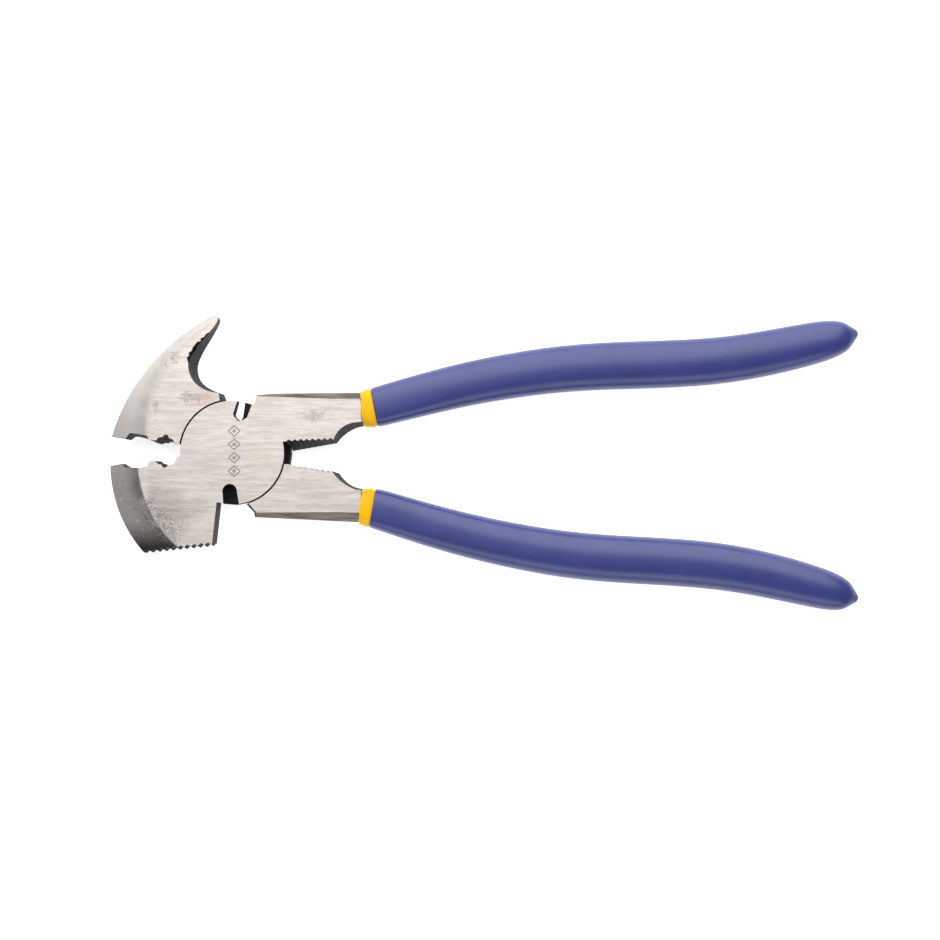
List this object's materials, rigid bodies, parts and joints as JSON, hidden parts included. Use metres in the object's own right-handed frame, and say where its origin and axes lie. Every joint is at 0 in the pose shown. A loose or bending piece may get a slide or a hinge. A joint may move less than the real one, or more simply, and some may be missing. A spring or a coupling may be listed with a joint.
{
  "type": "fencing pliers",
  "caption": "Fencing pliers with a toothed hammer face, a curved staple claw, wire-cutting notches, toothed wire grips and long dipped S-curved handles on a lapped rivet joint.",
  "frame": {"origin": "on the pivot's axis, at the flat ground underside of the hub", "axes": "+X from the pivot towards the handles' ends, +Y from the hammer jaw's side to the claw's side, +Z along the pivot's axis, from the underside to the upper face"},
  "size_m": [0.265, 0.104, 0.013],
  "materials": {
    "forged_steel": "ground flat faces with fine parallel brush lines, black forging scale on the side walls",
    "yellow_dip": "glossy dipped vinyl",
    "blue_dip": "satin dipped vinyl"
  },
  "bodies": {
    "hammer_side": {"hammer_lever": "forged_steel", "pivot_rivet": "forged_steel", "hammer_handle_sleeve": "yellow_dip", "hammer_handle_grip": "blue_dip"},
    "claw_side": {"claw_lever": "forged_steel", "claw_handle_sleeve": "yellow_dip", "claw_handle_grip": "blue_dip"}
  },
  "joints": [
    {"name": "pivot", "type": "hinge", "parent": "hammer_side", "child": "claw_side", "pos_m": [0, 0, 0], "axis": [0, 0, 1], "range_deg": [-20, 12.3]}
  ]
}
